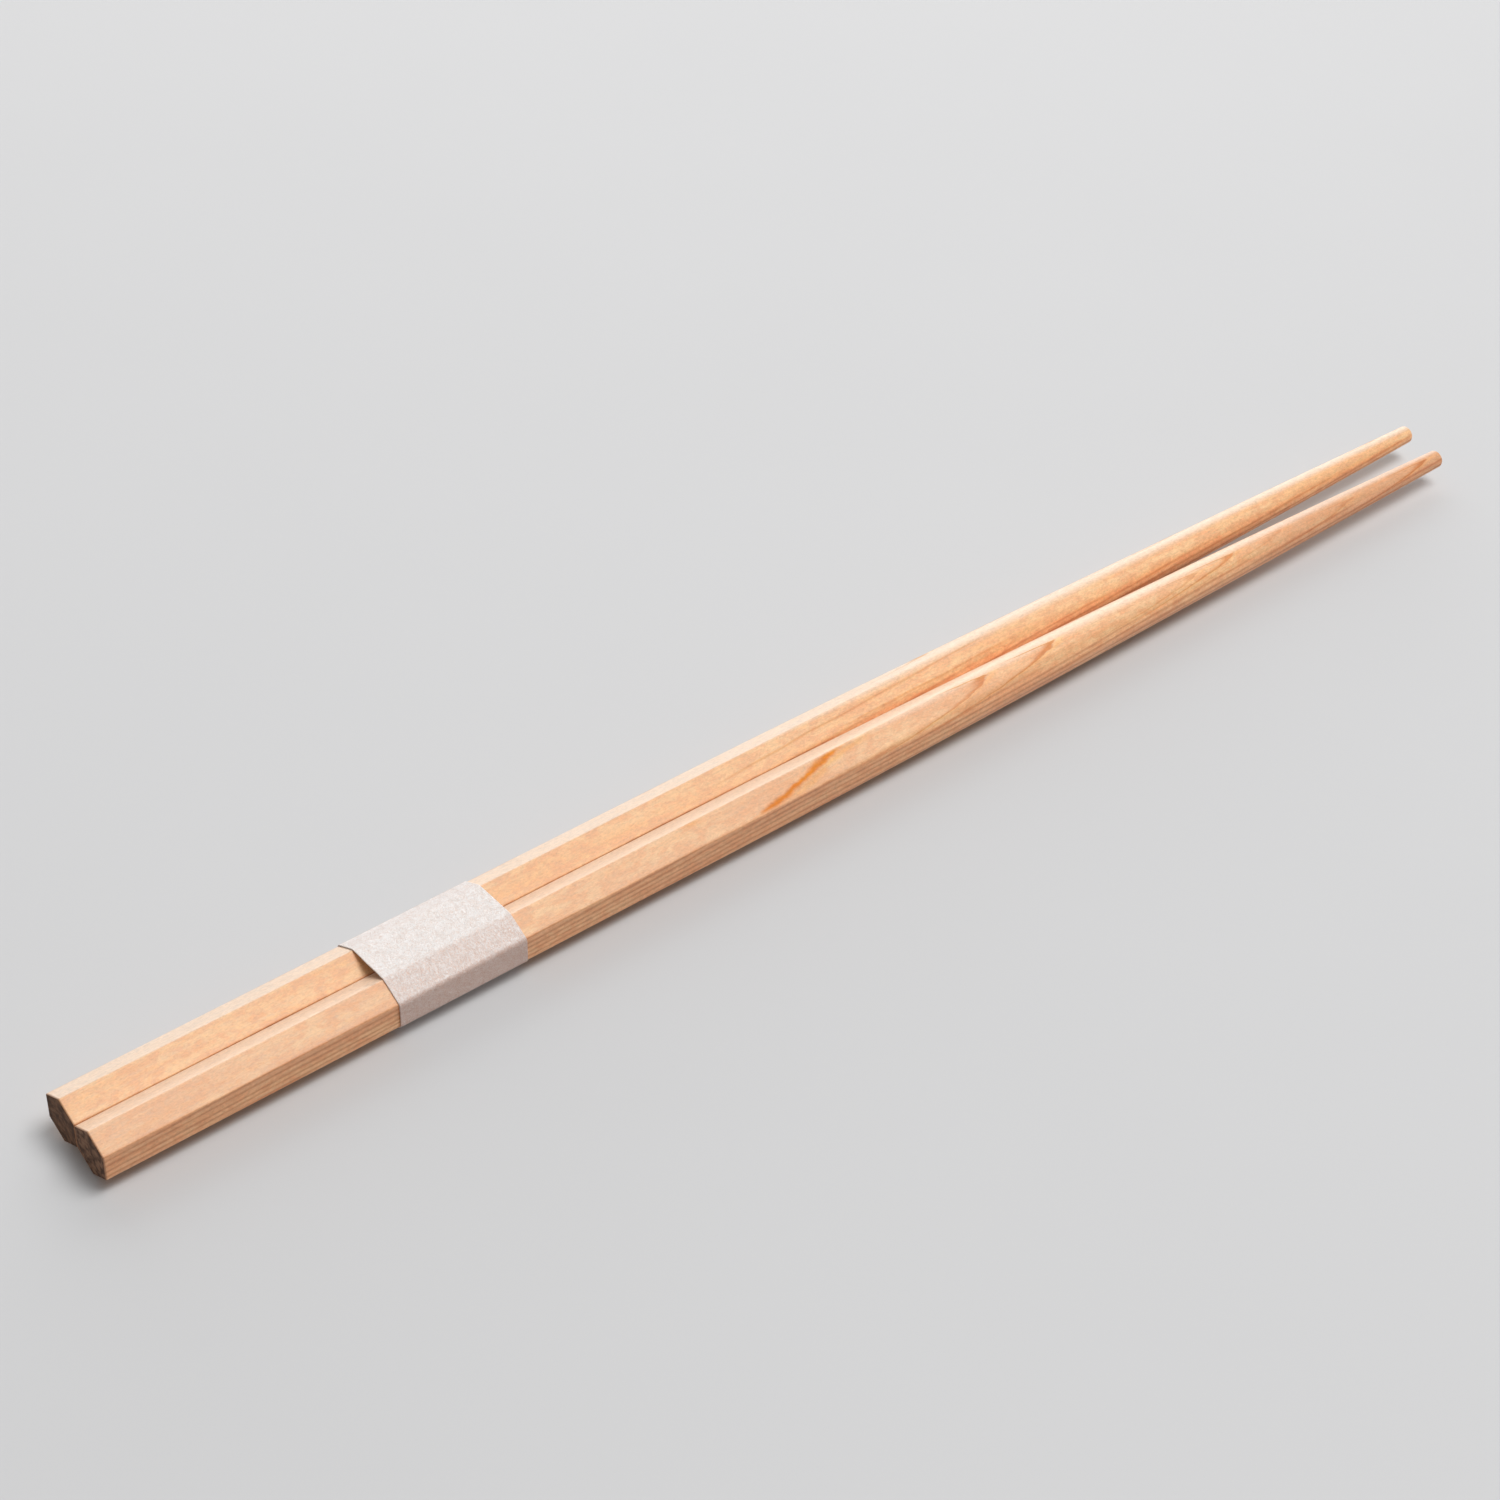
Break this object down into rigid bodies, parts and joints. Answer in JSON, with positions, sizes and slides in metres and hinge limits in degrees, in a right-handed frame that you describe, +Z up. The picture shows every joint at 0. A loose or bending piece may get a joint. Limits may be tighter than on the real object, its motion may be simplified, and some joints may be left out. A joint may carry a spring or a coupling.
{
  "type": "pair of wooden chopsticks",
  "caption": "Hexagonal wooden chopsticks that taper to slim round tips, held side by side by a paper band, for eating with.",
  "frame": {"origin": "centre of the pair's box on the surface it lies on, under the middle of the sticks' length", "axes": "+X along the sticks towards the tips, +Y across the pair towards the left stick, +Z up"},
  "size_m": [0.24, 0.014, 0.0079],
  "materials": {
    "wood": "bare planed softwood with fine straight grain, unvarnished, satin",
    "paper": "matte white fibrous paper"
  },
  "bodies": {
    "root": {"left_chopstick": "wood", "right_chopstick": "wood", "paper_band": "paper"}
  },
  "joints": []
}
